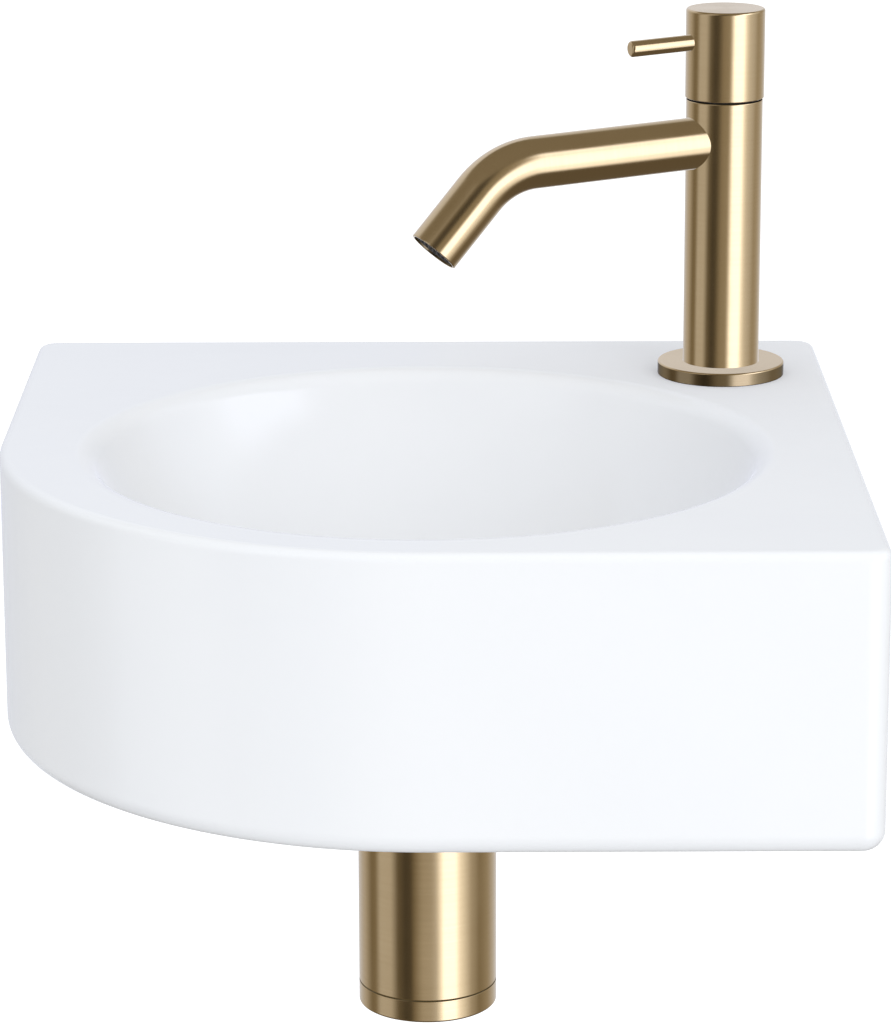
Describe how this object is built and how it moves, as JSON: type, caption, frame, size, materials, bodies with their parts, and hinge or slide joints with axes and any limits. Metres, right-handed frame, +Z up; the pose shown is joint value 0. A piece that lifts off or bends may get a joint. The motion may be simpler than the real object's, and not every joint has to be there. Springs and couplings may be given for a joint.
{
  "type": "hand basin",
  "caption": "Wall-hung ceramic hand basin with a quarter-round corner, a single-lever pillar tap, a free-flow waste and a bottle trap.",
  "frame": {"origin": "midway between the two wall fixing holes, in the plane of the basin's back face, 60 mm below the rim", "axes": "+X along the wall to the right as seen by the user, +Y into the wall, +Z up"},
  "size_m": [0.302, 0.348, 0.3466],
  "materials": {
    "ceramic": "white glaze, glossy",
    "brushed_brass": "brushed brass, satin, lacquered",
    "turned_brass": "turned brass, uncoated",
    "black_rubber": "matt black",
    "white_plastic": "matt",
    "dark_plastic": "matt",
    "disc_ceramic": "ground flat",
    "screw_steel": "plain stainless"
  },
  "bodies": {
    "basin": {"basin_shell": "ceramic", "basin_bowl": "ceramic", "tap_flange": "brushed_brass", "tap_flange_seal": "black_rubber", "tap_body": "brushed_brass", "spout_tube": "brushed_brass", "aerator_body": "dark_plastic", "aerator_screen": "dark_plastic", "aerator_seal": "black_rubber", "tap_shank": "turned_brass", "centring_bush": "white_plastic", "tap_washer": "black_rubber", "tap_back_nut": "turned_brass", "cartridge_body": "turned_brass", "cartridge_o_ring": "black_rubber", "seat_seal": "black_rubber", "fixed_disc": "disc_ceramic", "glide_ring": "dark_plastic", "waste_body": "brushed_brass", "strainer_grid": "brushed_brass", "grid_screw": "brushed_brass", "waste_top_gasket": "black_rubber", "waste_lower_gasket": "black_rubber", "waste_back_nut": "turned_brass", "trap_inlet_nut": "brushed_brass", "trap_inlet_seal": "black_rubber", "dip_tube": "brushed_brass", "trap_neck_nut": "brushed_brass", "trap_neck_seal": "black_rubber", "trap_cylinder": "brushed_brass", "outlet_nut": "brushed_brass", "outlet_seal": "black_rubber", "outlet_tube": "brushed_brass"},
    "handle": {"handle_cap": "brushed_brass", "lever_pin": "brushed_brass", "grub_screw": "screw_steel", "spindle": "turned_brass", "spindle_o_ring": "black_rubber", "moving_disc": "disc_ceramic"},
    "cap_seal": {"clean_out_o_ring": "black_rubber"},
    "cap": {"clean_out_cap": "brushed_brass"},
    "rosette": {"wall_rosette": "brushed_brass"}
  },
  "joints": [
    {"name": "handle_turn", "type": "hinge", "parent": "basin", "child": "handle", "pos_m": [0.1114, -0.0564, 0], "axis": [0, 0, 1], "range_deg": [0, 90]},
    {"name": "cap_lower", "type": "slide", "parent": "basin", "child": "cap_seal", "axis": [0, 0, -1], "range_m": [0, 0.00801]},
    {"name": "cap_unscrew", "type": "hinge", "parent": "cap_seal", "child": "cap", "pos_m": [0, -0.168, 0], "axis": [0, 0, -1], "range_deg": [0, 1440]},
    {"name": "rosette_slide", "type": "slide", "parent": "basin", "child": "rosette", "axis": [0, -1, 0], "range_m": [0, 0.1]}
  ],
  "couplings": [
    {"joint": "cap_lower", "follows": "cap_unscrew", "m_per_rad": 0.00031831}
  ]
}
